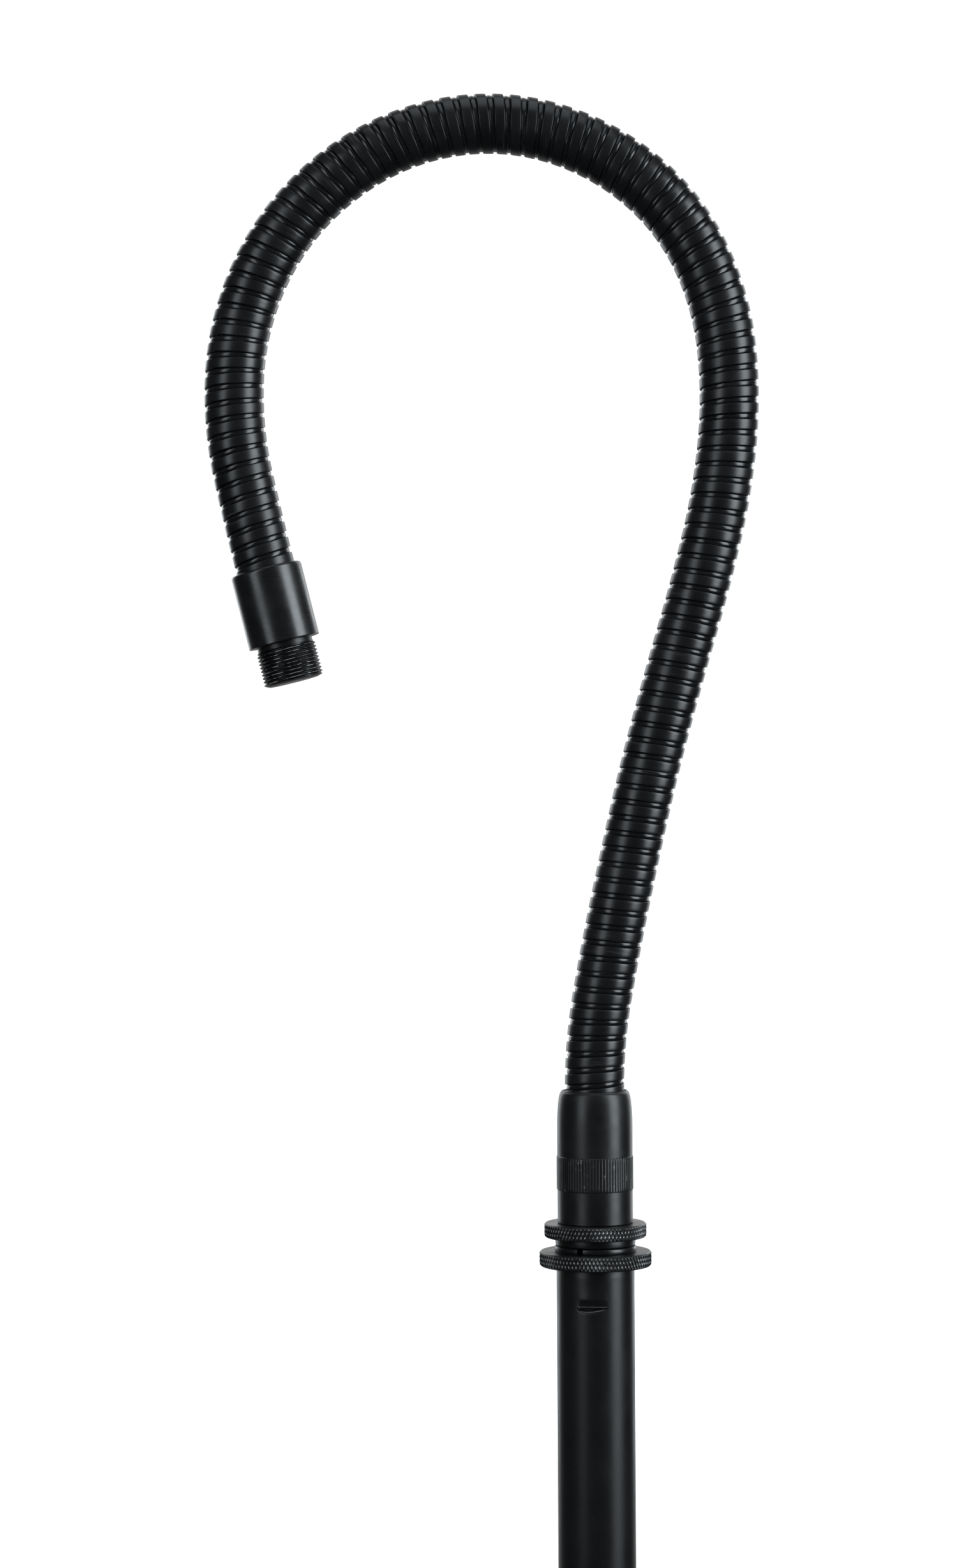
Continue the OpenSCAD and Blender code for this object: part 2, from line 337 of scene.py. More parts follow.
def skin(name, grid, loop=False, sharp=35.0, crest=None, along=None):
    """Closed mesh of a grid of points, with its faces outwards.

    Each four-sided face joins neighbouring points of one row to the same points of the next row, and every
    row closes on itself. With loop the last row joins the first; otherwise a fan on the row's middle point
    closes each end. crest is a number for each point, kept as an attribute. along is a distance for each
    row, kept as a UV map whose other coordinate runs from 0 to 1 round the row.
    """
    rows, columns = grid.shape[:2]
    index = np.arange(rows * columns).reshape(rows, columns)
    lower, upper = (index, np.roll(index, -1, 0)) if loop else (index[:-1], index[1:])
    quads = np.stack([lower, np.roll(lower, -1, 1), np.roll(upper, -1, 1), upper], -1).reshape(-1, 4)
    points = grid.reshape(-1, 3)
    fans = np.zeros((0, 3), int)
    if not loop:
        points = np.concatenate([points, grid[:1].mean(1), grid[-1:].mean(1)])
        first, last = index[0], index[-1]
        fans = np.concatenate([
            np.stack([np.roll(first, -1), first, np.full(columns, rows * columns)], -1),
            np.stack([last, np.roll(last, -1), np.full(columns, rows * columns + 1)], -1)])
    corner = points[quads]
    triangle = points[fans]
    volume = (np.cross(corner[:, 0], corner[:, 1]) * corner[:, 2]).sum()
    volume += (np.cross(corner[:, 0], corner[:, 2]) * corner[:, 3]).sum()
    volume += (np.cross(triangle[:, 0], triangle[:, 1]) * triangle[:, 2]).sum()
    turned_in = volume < 0
    if turned_in:
        quads, fans = quads[:, ::-1], fans[:, ::-1]
    mesh = bpy.data.meshes.new(name)
    mesh.vertices.add(len(points))
    mesh.vertices.foreach_set("co", points.astype(np.float32).ravel())
    mesh.loops.add(quads.size + fans.size)
    mesh.loops.foreach_set("vertex_index", np.concatenate([quads.ravel(), fans.ravel()]).astype(np.int32))
    mesh.polygons.add(len(quads) + len(fans))
    mesh.polygons.foreach_set("loop_start", np.concatenate(
        [np.arange(len(quads)) * 4, quads.size + np.arange(len(fans)) * 3]).astype(np.int32))
    mesh.update(calc_edges=True)
    mesh.polygons.foreach_set("use_smooth", np.ones(len(mesh.polygons), bool))
    mesh.set_sharp_from_angle(angle=math.radians(sharp))
    if crest is not None:
        values = np.concatenate([crest.ravel(), np.zeros(len(points) - crest.size)])
        mesh.attributes.new("crest", "FLOAT", "POINT").data.foreach_set("value", values.astype(np.float32))
    if along is not None:
        row = np.repeat(np.arange(len(lower)), columns)
        column = np.tile(np.arange(columns), len(lower))
        u = np.stack([along[row], along[row], along[row + 1], along[row + 1]], -1)
        v = np.stack([column, column + 1, column + 1, column], -1) / columns
        around = np.stack([u, v], -1)
        if turned_in:
            around = around[:, ::-1]
        ends = np.zeros((len(fans), 3, 2))
        ends[..., 0] = np.repeat([along[0], along[-1]], columns)[:, None] if len(fans) else 0
        flat = np.concatenate([around.reshape(-1, 2), ends.reshape(-1, 2)])
        mesh.uv_layers.new(name="wire").uv.foreach_set("vector", flat.astype(np.float32).ravel())
    piece = bpy.data.objects.new(name, mesh)
    bpy.context.scene.collection.objects.link(piece)
    return piece


def trace(*sections):
    """Points of an outline in (radius, height), from sections of (corner, steps to the next corner).

    Each section is cut into equal steps. The last section's corner is the outline's last point.
    """
    parts = [np.linspace(a, b, n, endpoint=False) for (a, n), (b, _) in zip(sections, sections[1:])]
    return np.concatenate(parts + [np.array([sections[-1][0]])])


def quarter(centre, radii, start, end, steps, power=1.0):
    """Sections of an elliptical arc for trace: centre plus radii times cosine and sine.

    The angle runs from start to end in degrees. A power below 1 on the cosine makes a squarer shoulder.
    """
    angle = np.radians(np.linspace(start, end, steps + 1))
    across = np.sign(np.cos(angle)) * np.abs(np.cos(angle)) ** power
    return [((centre[0] + radii[0] * a, centre[1] + radii[1] * b), 1)
            for a, b in zip(across, np.sin(angle))]


def spun(radius, angle, height):
    """Points at a radius, an angle about the Z axis, and a height."""
    return np.stack([radius * np.cos(angle), radius * np.sin(angle), height], -1)


def turned(outline, columns, limit=None):
    """Grid of an outline turned about the Z axis in equal steps.

    limit(angle, height) is the largest radius that a cutting tool leaves there; the smaller radius holds.
    """
    angle = np.arange(columns)[None, :] * TURN / columns
    radius, height = outline[:, :1] + 0 * angle, outline[:, 1:] + 0 * angle
    if limit is not None:
        radius = np.minimum(radius, limit(angle, height))
    return spun(radius, angle, height)


def tip_wear(grid, tip, wear):
    """Wear of a turned grid's points: none at a depth under the tip's radius, rising evenly to the tip."""
    depth, strength = wear
    radius = np.hypot(grid[..., 0], grid[..., 1])
    return np.clip((radius - tip + depth) / depth, 0, 1) * strength


def ramp(value):
    """Triangle wave: 1 at whole numbers, falling evenly to 0 halfway between them."""
    return np.abs(2 * (value - np.floor(value)) - 1)


def diamonds(angle, height, teeth, lead, left=1.0, right=1.0):
    """Depth from 0 on a diamond's tip to 1 in its grooves.

    Two families of grooves slant opposite ways: a triangle wave of the turn times teeth, plus and minus
    height over lead. The deeper of the two counts, which leaves four-sided points with small flat tips.
    left and right are how deep the tool cut the family that slants that way.
    """
    across = teeth * angle / TURN
    deeper = np.maximum(left * ramp(across + height / lead), right * ramp(across - height / lead))
    return np.clip((deeper - 0.22) / 0.78, 0, 1)


def screw(angle, height, pitch):
    """Depth from 0 on the crest to 1 in the groove of a right-handed thread.

    A triangle wave of height over pitch minus the turn, flattened over an eighth at the crest and the root.
    """
    return np.clip((ramp(height / pitch - angle / TURN) - 0.125) / 0.75, 0, 1)


def stood(grid, reach=HOSE_LENGTH):
    """A grid built about the Z axis, moved so that its +Z runs along the hose's line from distance reach."""
    place, heading = hose_line(np.array([reach]))
    c, s = math.cos(heading[0]), math.sin(heading[0])
    x = place[0, 0] + grid[..., 0] * s + grid[..., 2] * c
    z = place[0, 2] - grid[..., 0] * c + grid[..., 2] * s
    return np.stack([x, grid[..., 1] + 0 * x, z], -1)


def wound(section, middle, first, last, phase, steps):
    """Grid of a wire wound round the hose's line between distances first and last.

    The wire's place turns once per lead about the line, from phase. section is its outline as pairs of
    distance along the line and distance outwards, from a point that is middle away from the line.
    """
    count = int(round((last - first) / LEAD * steps)) + 1
    reach = np.linspace(first, last, count)
    place, heading = hose_line(reach)
    turn = phase + TURN * reach / LEAD
    tangent = np.stack([np.cos(heading), 0 * heading, np.sin(heading)], -1)
    normal = np.stack([np.sin(heading), 0 * heading, -np.cos(heading)], -1)
    outward = np.cos(turn)[:, None] * normal + np.sin(turn)[:, None] * np.array([0.0, 1.0, 0.0])
    grid = (place[:, None, :] + section[None, :, :1] * tangent[:, None, :]
            + (middle + section[None, :, 1:]) * outward[:, None, :])
    return grid, reach


# ---------------------------------------------------------------- finishes


class Nodes:
    """Short calls for building a material's node tree."""

    def __init__(self, name):
        self.material = bpy.data.materials.new(name)
        self.material.use_nodes = True
        self.tree = self.material.node_tree
        self.shader = self.tree.nodes["Principled BSDF"]
        self.places = self.add("ShaderNodeTexCoord").outputs["Object"]

    def add(self, kind, **settings):
        """A node of that kind, with its settings."""
        node = self.tree.nodes.new(kind)
        for key, value in settings.items():
            setattr(node, key, value)
        return node

    def join(self, output, socket):
        """Links an output to an input."""
        self.tree.links.new(output, socket)

    def stretched(self, source, scale):
        """source with each axis scaled, for a pattern that runs along one of them."""
        mapping = self.add("ShaderNodeMapping")
        mapping.inputs["Scale"].default_value = scale
        self.join(source, mapping.inputs["Vector"])
        return mapping.outputs["Vector"]

    def grain(self, source, scale, detail=3.0, roughness=0.55):
        """Noise from 0 to 1 at that many cycles a metre."""
        noise = self.add("ShaderNodeTexNoise")
        noise.inputs["Scale"].default_value = scale
        noise.inputs["Detail"].default_value = detail
        noise.inputs["Roughness"].default_value = roughness
        self.join(source, noise.inputs["Vector"])
        return noise.outputs["Fac"]

    def spread(self, value, from_low, from_high, to_low, to_high):
        """value mapped from one range to another and held inside it."""
        node = self.add("ShaderNodeMapRange")
        for socket, number in zip(RANGE_SOCKETS, (from_low, from_high, to_low, to_high)):
            node.inputs[socket].default_value = number
        self.join(value, node.inputs["Value"])
        return node.outputs["Result"]

    def eased(self, noise, to_low=0, to_high=1):
        """The middle of a noise, where most of it lies, mapped to another range."""
        return self.spread(noise, 0.3, 0.7, to_low, to_high)

    def sum(self, a, b, operation="ADD"):
        """Two numbers added, or combined as operation says."""
        node = self.add("ShaderNodeMath", operation=operation)
        for socket, value in zip(node.inputs, (a, b)):
            if isinstance(value, (int, float)):
                socket.default_value = value
            else:
                self.join(value, socket)
        return node.outputs["Value"]

    def mixed(self, share, a, b):
        """Colour a where share is 0 and colour b where it is 1."""
        node = self.add("ShaderNodeMix", data_type="RGBA")
        self.join(share, node.inputs["Factor"])
        for socket, value in zip((node.inputs[6], node.inputs[7]), (a, b)):
            if isinstance(value, bpy.types.NodeSocket):
                self.join(value, socket)
            else:
                socket.default_value = (*value, 1.0)
        return node.outputs[2]

    def bump(self, height, strength, distance):
        """Tilts the surface by a height pattern."""
        node = self.add("ShaderNodeBump")
        node.inputs["Strength"].default_value = strength
        node.inputs["Distance"].default_value = distance
        self.join(height, node.inputs["Height"])
        self.join(node.outputs["Normal"], self.shader.inputs["Normal"])


def lighter(colour, gain):
    """A colour with each part multiplied by gain."""
    return tuple(part * gain for part in colour)


def satin_paint(name, colour, bare):
    """Satin black paint: soft orange peel, faint cloudy gloss, a few dusty specks and rubbed lips. The lower
    lip's lightening is partly rubbed paint and partly a painted highlight.
    """
    n = Nodes(name)
    cloud = n.grain(n.places, 90, 4)
    peel = n.grain(n.places, 1900, 2, 0.4)
    dust = n.spread(n.grain(n.places, 5200, 1), 0.70, 0.80, 0, 0.35)
    worn = n.add("ShaderNodeAttribute", attribute_name="crest").outputs["Fac"]
    base = n.mixed(n.eased(cloud), colour, lighter(colour, 1.45))
    dusted = n.mixed(dust, base, lighter(colour, 4.5))
    # lip turns the slit's lips towards bare steel: rubbed paint, and on the lower lip partly a painted
    # highlight.
    lip = n.spread(worn, 0.2, 0.8, 0, 1)
    n.join(n.mixed(lip, dusted, bare), n.shader.inputs["Base Color"])
    n.join(lip, n.shader.inputs["Metallic"])
    n.join(n.sum(n.eased(cloud, 0.33, 0.41), n.eased(peel, -0.02, 0.02)), n.shader.inputs["Roughness"])
    n.shader.inputs["Specular IOR Level"].default_value = 0.5
    n.bump(peel, 0.12, 0.00006)
    return n.material


def black_plating(name, colour, bare, rough=0.36, marks=1.0, gloss=0.55):
    """Black plating on turned steel: rings left by the tool, and crests where it has rubbed through."""
    n = Nodes(name)
    lines = n.grain(n.stretched(n.places, (60, 60, 9000)), 1, 2, 0.6)
    cloud = n.grain(n.places, 160, 4)
    patch = n.spread(n.grain(n.places, 700, 3), 0.32, 0.68, 0.4, 1)
    worn = n.add("ShaderNodeAttribute", attribute_name="crest").outputs["Fac"]
    rubbed = n.spread(n.sum(worn, patch, "MULTIPLY"), 0.36, 0.66, 0, 1)
    base = n.mixed(n.eased(cloud), colour, lighter(colour, 1.6))
    n.join(n.mixed(rubbed, base, bare), n.shader.inputs["Base Color"])
    n.join(rubbed, n.shader.inputs["Metallic"])
    n.join(n.sum(n.eased(cloud, rough - 0.04, rough + 0.05), n.eased(lines, -0.03, 0.03)),
           n.shader.inputs["Roughness"])
    n.shader.inputs["Specular IOR Level"].default_value = gloss
    n.bump(lines, 0.05 * marks, 0.00004)
    return n.material


def plated(context, name, *look):
    """Black plating in the scene's own colours. look is its rough, marks and gloss."""
    finish = context.scene.gooseneck_finish
    return black_plating(name, finish.plating, finish.bare, *look)


def drawn_wire(name, colour, bare, rough, wear):
    """Black oxide on drawn wire: fine lines along the wire, gloss that changes from turn to turn."""
    n = Nodes(name)
    run = n.add("ShaderNodeUVMap", uv_map="wire").outputs["UV"]
    lines = n.grain(n.stretched(run, (90, 55, 1)), 1, 3, 0.6)
    tone = n.grain(n.places, 130, 4)
    scuff = n.grain(n.stretched(run, (420, 9, 1)), 1, 3, 0.7)
    base = n.mixed(n.eased(tone), colour, lighter(colour, 1.7))
    n.join(n.mixed(n.spread(scuff, 0.62, 0.80, 0, wear), base, bare), n.shader.inputs["Base Color"])
    n.join(n.sum(n.eased(tone, rough - 0.03, rough + 0.05), n.eased(lines, -0.03, 0.04)),
           n.shader.inputs["Roughness"])
    n.shader.inputs["Specular IOR Level"].default_value = 0.6
    n.bump(lines, 0.06, 0.00003)
    return n.material


def pale_floor(name, colour):
    """Plain pale floor with a hint of unevenness."""
    n = Nodes(name)
    cloud = n.grain(n.places, 3, 2)
    n.join(n.mixed(cloud, colour, lighter(colour, 0.99)), n.shader.inputs["Base Color"])
    n.join(n.eased(cloud, 0.80, 0.86), n.shader.inputs["Roughness"])
    n.shader.inputs["Specular IOR Level"].default_value = 0.0
    return n.material


def dress(piece, material, slot, body, *nodes):
    """Gives a piece its material, lets it ride on a body and stand for its CAD nodes. slot is not used."""
    piece.data.materials.append(material)
    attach(piece, body)
    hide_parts(*nodes)


# ---------------------------------------------------------------- pieces


class GOOSENECK_OT_tube(bpy.types.Operator):
    """Stand tube with the slit and dent that stake its adapter"""

    bl_idname = "gooseneck.tube"
    bl_label = "Stand Tube"

    def execute(self, context):
        """The outer face is a cylinder, pushed in by a depth that depends on the distance across the slit.

        Rows near the slit follow its curved lower lip. The inner face keeps a wall inside the deepest part.
        """
        sizes = context.scene.gooseneck_stand
        radius, bore = sizes.tube_width / 2, sizes.tube_width / 2 - sizes.tube_wall
        half = sizes.slit_width / 2
        spread = (half + 1.2 * MM) / radius
        angle = sizes.slit_turn + np.concatenate([
            np.linspace(-spread, spread, 110, endpoint=False),
            np.linspace(spread, TURN - spread, 130, endpoint=False)])
        across = radius * (np.mod(angle - sizes.slit_turn + math.pi, TURN) - math.pi)
        inside = np.clip(1 - (across / half) ** 2, 0, 1)
        rounded = inside ** 0.5
        lean = np.clip(across / half, -1, 1)
        opened = sizes.slit_open * (rounded * (0.9 - 0.4 * lean))
        through = 1.9 * MM * inside ** 0.25
        pressed = sizes.dent * inside ** 1.4
        lip_top = TUBE_TOP - sizes.slit_top
        below = np.array([7, 5, 3.6, 2.6, 1.9, 1.4, 1.0, 0.7, 0.48, 0.32, 0.2, 0.1, 0.03]) * MM
        above = np.array([0.1, 0.2, 0.4, 0.65, 0.9, 1.2, 1.5, 1.8, 2.1, 2.5, 3.0, 3.6, 4.3, 5.2, 6.3]) * MM
        sag_reach, roll_reach, fall_reach = 8 * MM, 0.8 * MM, 2.3 * MM
        swell_rise, swell_top, swell_fall = 2 * MM, 6.2 * MM, 4.2 * MM
        thinnest, hair = 0.22 * MM, 0.01 * MM
        blank = 0 * across
        rows = []

        def row(height, depth):
            rows.append((height + blank, radius - depth + blank))

        for height, cut in ((0, 0.35), (0.12, 0.12), (0.35, 0)):
            row(height * MM, cut * MM)
        for height in np.linspace(8 * MM, lip_top - 9 * MM, 9):
            row(height, 0)
        for drop in below:
            sag = opened * (1 - drop / sag_reach) ** 3
            roll = 0.55 * MM * np.clip(1 - drop / roll_reach, 0, 1) ** 2 * inside ** 0.7
            row(lip_top - sag - drop, roll)
        lower_lip = len(rows)
        row(lip_top - opened - hair, 0.9 * MM * rounded)
        row(lip_top - opened, through)
        row(lip_top + hair, through)
        for rise, extra in ((0.02, 0.22), (0.04, 0.06)):
            row(lip_top + rise * MM, pressed + extra * MM * rounded)
        upper_lip = len(rows)
        for rise in above:
            fall = np.clip(1 - rise / fall_reach, 0, 1)
            swell = np.clip((swell_top - rise) / swell_fall, 0, 1) * np.clip(rise / swell_rise, 0, 1)
            row(lip_top + rise, pressed * fall * fall * (3 - 2 * fall) - 0.11 * MM * swell * swell * inside)
        for height, cut in ((2.6, 0), (0.2, 0), (0.06, 0.06), (0, 0.2)):
            row(TUBE_TOP - height * MM, cut * MM)
        height = np.array([h for h, _ in rows])
        outside = np.array([r for _, r in rows])
        inner = np.minimum(bore, outside - thinnest)[::-1]
        inner[[0, -1]] = bore
        radii = np.concatenate([outside, inner])
        heights = np.concatenate([height, height[::-1]])
        grid = spun(radii, angle, heights)
        crest = np.zeros(radii.shape)
        crest[upper_lip - 1:upper_lip + 1] = (inside > 0.12) * 0.9
        # The lower lip's rolled edge is lightened towards bare steel: partly rubbed paint, partly a painted
        # highlight on the roll.
        crest[lower_lip - 3:lower_lip] = 0.36 * rounded
        tube = skin("tube", grid, loop=True, sharp=40, crest=crest)
        finish = context.scene.gooseneck_finish
        paint = satin_paint("satin_black_paint", finish.paint, finish.bare)
        dress(tube, paint, "tube_black", "stand", "stand_tube")
        return {"FINISHED"}


def thread_rows(low_end, high_end, radius, pitch):
    """One outline section up a threaded length, with ten steps to each turn of the thread."""
    return ((radius, low_end), max(2, int((high_end - low_end) / pitch * 10)))


class GOOSENECK_OT_adapter(bpy.types.Operator):
    """Adapter: a plug staked in the tube, a knurled flange and a threaded stud"""

    bl_idname = "gooseneck.adapter"
    bl_label = "Stand Adapter"

    def execute(self, context):
        """An outline turned about the axis. Diamonds limit the flange's radius, and a thread the stud's."""
        sizes, fittings = context.scene.gooseneck_stand, context.scene.gooseneck_fitting
        plug = sizes.tube_width / 2 - sizes.tube_wall - 0.05 * MM
        foot, groove = low("stand_adapter"), TUBE_TOP - 9.6 * MM
        flange = width("stand_adapter") / 2
        stud = fittings.thread_width / 2 - 0.03 * MM
        top = FLANGE_TOP + sizes.stud_height
        soft, chamfer = 0.42 * MM, 0.8 * MM
        outline = trace(
            ((CORE, foot), 4), ((plug - 1 * MM, foot), 2), ((plug, foot + 1 * MM), 4),
            ((plug, groove - 2 * MM), 2), ((plug - 1.2 * MM, groove - 2 * MM), 3),
            ((plug - 1.2 * MM, groove + 3 * MM), 2), ((plug, groove + 3 * MM), 3), ((plug, TUBE_TOP), 4),
            ((flange - soft, TUBE_TOP), 5), ((flange, TUBE_TOP + soft), 34),
            ((flange, FLANGE_TOP - soft), 5), ((flange - soft, FLANGE_TOP), 3),
            ((flange - 1.6 * MM, FLANGE_TOP), 4), ((stud - 0.6 * MM, FLANGE_TOP), 1),
            thread_rows(FLANGE_TOP + 0.05 * MM, top - chamfer, stud, fittings.thread_pitch),
            ((stud, top - chamfer), 8), ((stud - chamfer, top), 4), ((CORE, top), 1))

        def limit(angle, height):
            cut = diamonds(angle, height - TUBE_TOP, sizes.flange_teeth, sizes.knurl_lead, right=0.8)
            knurl = flange - sizes.knurl_depth * cut
            thread = stud - fittings.thread_depth * screw(angle, height, fittings.thread_pitch)
            return np.where(height <= FLANGE_TOP, np.where(height < TUBE_TOP, FREE, knurl), thread)

        grid = turned(outline, sizes.flange_teeth * 8, limit)
        adapter = skin("adapter", grid, sharp=24, crest=tip_wear(grid, flange, DIAMOND_WEAR))
        plating = plated(context, "adapter_plating", 0.34)
        dress(adapter, plating, "adapter_black", "stand", "stand_adapter")
        return {"FINISHED"}


class GOOSENECK_OT_washer(bpy.types.Operator):
    """Split spring washer between the adapter and the lock ring"""

    bl_idname = "gooseneck.washer"
    bl_label = "Spring Washer"

    def execute(self, context):
        """A rounded oblong section carried round the axis from one side of the gap to the other."""
        sizes = context.scene.gooseneck_stand
        outer = width("split_washer") / 2
        inner = context.scene.gooseneck_fitting.thread_width / 2 + 0.15 * MM
        half_gap = sizes.washer_gap / 2 / outer
        angle = sizes.washer_turn + np.linspace(half_gap, TURN - half_gap, 240)[:, None]
        foot, top, soft = low("split_washer"), high("split_washer"), 0.3 * MM
        middle = (foot + top) / 2
        bulge = outer - 0.10 * MM
        corners = trace(
            *quarter((bulge - soft, foot + soft), (soft, soft), -90, -20, 5),
            ((outer, middle), 1),
            *quarter((bulge - soft, top - soft), (soft, soft), 20, 90, 5),
            *quarter((inner + soft / 2, top - soft / 2), (soft / 2, soft / 2), 90, 180, 3),
            *quarter((inner + soft / 2, foot + soft / 2), (soft / 2, soft / 2), 180, 270, 3))
        washer = skin("spring_washer", spun(corners[:, 0], angle, corners[:, 1] + 0 * angle))
        finish = context.scene.gooseneck_finish
        oxide = black_plating("washer_oxide", lighter(finish.oxide, 1.6), finish.bare, 0.30)
        dress(washer, oxide, "washer_steel", "stand", "split_washer")
        return {"FINISHED"}


class GOOSENECK_OT_lock_ring(bpy.types.Operator):
    """Lock ring: a diamond knurled rim on a plain hub"""

    bl_idname = "gooseneck.lock_ring"
    bl_label = "Lock Ring"

    def execute(self, context):
        """A closed outline turned about the axis, with its rim's radius limited by the diamonds."""
        sizes = context.scene.gooseneck_stand
        foot, top = low("lock_ring"), high("lock_ring")
        rim, hub, step = width("lock_ring") / 2, sizes.hub_width / 2, foot + sizes.hub_height
        bore = context.scene.gooseneck_fitting.thread_width / 2 + 0.06 * MM
        soft = 0.38 * MM
        outline = trace(
            ((bore, foot + 0.3 * MM), 1), ((bore + 0.3 * MM, foot), 3), ((hub - 0.55 * MM, foot), 1),
            ((hub - 0.25 * MM, foot + 0.08 * MM), 1), ((hub - 0.06 * MM, foot + 0.32 * MM), 1),
            ((hub, foot + 0.8 * MM), 2), ((hub, step - 0.25 * MM), 1), ((hub + 0.2 * MM, step), 4),
            ((rim - soft, step), 5), ((rim, step + soft), 32), ((rim, top - soft), 5),
            ((rim - soft, top), 4), ((bore + 0.3 * MM, top), 1), ((bore, top - 0.3 * MM), 4),
            ((bore, foot + 1 * MM), 1))

        def limit(angle, height):
            cut = diamonds(angle, height - step, sizes.ring_teeth, sizes.knurl_lead, left=0.78)
            return np.where(height >= step, rim - sizes.knurl_depth * cut, FREE)

        grid = turned(outline, sizes.ring_teeth * 8, limit)
        radius, height = np.hypot(grid[..., 0], grid[..., 1]), grid[..., 2]
        edge = np.clip(1 - np.abs(height - top + soft) / (0.24 * MM), 0, 1)
        rubbed = edge * np.clip((radius - rim + 0.2 * MM) / (0.15 * MM), 0, 1)
        crest = np.maximum(tip_wear(grid, rim, DIAMOND_WEAR), rubbed)
        ring = skin("lock_ring_body", grid, loop=True, sharp=24, crest=crest)
        dress(ring, plated(context, "ring_plating", 0.34), "ring_black", "lock_ring", "lock_ring")
        return {"FINISHED"}


class GOOSENECK_OT_base_ferrule(bpy.types.Operator):
    """Base ferrule with its rolled lip and straight knurl, and the threaded bush in its foot"""

    bl_idname = "gooseneck.base_ferrule"
    bl_label = "Base Ferrule"

    def execute(self, context):
        """Closed outlines turned about the axis. Straight teeth limit the knurled band's radius."""
        sizes = context.scene.gooseneck_fitting
        foot, body = low("base_ferrule"), sizes.body_width / 2
        band_foot = foot + sizes.knurl_from
        band_top = band_foot + sizes.knurl_height
        band = width("base_ferrule") / 2
        lip, start = sizes.lip_width / 2, MOUTH - sizes.lip_height
        hose = context.scene.gooseneck_hose.hose_width / 2 + 0.1 * MM
        seat, step = body - 1.2 * MM, foot + sizes.bush_height
        run, inset, roll = 0.22 * MM, 0.15 * MM, 0.30 * MM
        outline = trace(
            ((seat, foot + 0.2 * MM), 1), ((seat + 0.2 * MM, foot), 1), ((body - run, foot), 2),
            ((body, foot + run), 6), ((body, band_foot), 2), ((band, band_foot + run), 10),
            ((band, band_top - run), 2), ((body, band_top), 6),
            *quarter((lip - inset, start), (body - lip + inset, sizes.lip_height - 0.28 * MM),
                     0, 86, 20, power=0.75),
            *quarter((lip - roll, MOUTH - roll), (roll, roll), 20, 100, 6),
            ((hose + 0.34 * MM, MOUTH - 0.05 * MM), 1), ((hose + 0.26 * MM, MOUTH - 0.34 * MM), 2),
            ((hose + 0.02 * MM, MOUTH - 0.38 * MM), 1), ((hose, MOUTH - 0.5 * MM), 6),
            ((hose, step), 2), ((seat, step), 4), ((seat, foot + 1 * MM), 1))

        def limit(angle, height):
            tooth = ramp(sizes.knurl_teeth * angle / TURN)
            inside = (height >= band_foot) & (height <= band_top)
            return np.where(inside, band - 0.07 * MM * np.clip(2.2 * tooth - 1.2, 0, 1), FREE)

        grid = turned(outline, sizes.knurl_teeth * 8, limit)
        ferrule = skin("ferrule", grid, loop=True, sharp=28, crest=tip_wear(grid, band, STRAIGHT_WEAR))
        plating = plated(context, "ferrule_plating", 0.36, 0.5)
        dress(ferrule, plating, "ferrule_black", "base", "base_ferrule")

        outer, inner = width("base_bush") / 2, sizes.thread_width / 2 + 0.06 * MM
        base, top = low("base_bush"), high("base_bush")
        outline = trace(
            ((inner, base + 0.4 * MM), 1), ((inner + 0.4 * MM, base), 1), ((outer - 0.2 * MM, base), 1),
            ((outer, base + 0.2 * MM), 8), ((outer, top - 0.2 * MM), 1), ((outer - 0.2 * MM, top), 1),
            ((inner + 0.4 * MM, top), 1), ((inner, top - 0.4 * MM), 8), ((inner, base + 1 * MM), 1))
        bush = skin("bush", turned(outline, 144), loop=True)
        finish = context.scene.gooseneck_finish
        steel = black_plating("turned_steel", lighter(finish.bare, 0.5), finish.bare, 0.30)
        dress(bush, steel, "bush_steel", "base", "base_bush")
        return {"FINISHED"}


def hose_pieces(context, name, section, middle, phase, material, nodes):
    """Makes one wire of the hose: a stub in each ferrule, and one piece for each link.

    The wire is one unbroken winding. It is divided where it passes the back of the hose, next to each
    link's end, and each piece takes its place on the same winding, so the divisions don't show.
    """
    steps = context.scene.gooseneck_hose.steps
    lap = LEAD * ((0.75 - phase / TURN) % 1 - 0.5)
    ends = [-HIDDEN_BELOW, *(LINK * np.arange(LINKS + 1) + lap), HOSE_LENGTH + HIDDEN_ABOVE]
    bodies = ["base", *(f"link_{k:02d}" for k in range(1, LINKS + 1))]
    for k, (first, last) in enumerate(zip(ends, ends[1:])):
        grid, reach = wound(section, middle, first, last, phase, steps)
        piece = skin(f"{name}_{k:02d}", grid, sharp=42, along=reach)
        piece.data.materials.append(material)
        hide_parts(f"{nodes}_{min(k, LINKS):02d}")
        if k == 0:
            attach(piece, "base")
        elif k > LINKS:
            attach(piece, bodies[-1])
        else:
            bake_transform(piece)


class GOOSENECK_OT_wedge_wire(bpy.types.Operator):
    """Outer wedge wire of the hose, whose flat face makes the wide bands"""

    bl_idname = "gooseneck.wedge_wire"
    bl_label = "Wedge Wire"

    def execute(self, context):
        """A wedge section with small round shoulders, wound half a turn away from the round wire."""
        sizes = context.scene.gooseneck_hose
        face = sizes.band_width / 2
        soft = 0.17 * MM
        flank = np.array([
            (0.2 * MM, -1.35 * MM), (face - 0.22 * MM, -0.48 * MM), (face - 0.03 * MM, -1.5 * soft),
            (face, -soft), (face - 0.12 * soft, -0.5 * soft), (face - 0.45 * soft, -0.14 * soft),
            (face - soft, 0), (0.42 * face, 0.012 * MM)])
        section = np.concatenate([flank, flank[::-1] * (-1, 1)])
        finish = context.scene.gooseneck_finish
        material = drawn_wire("wedge_wire_oxide", finish.oxide, finish.bare, 0.31, 0.05)
        middle, phase = sizes.hose_width / 2, sizes.start
        hose_pieces(context, "wedge_wire", section, middle, phase, material, "outer_wire")
        return {"FINISHED"}


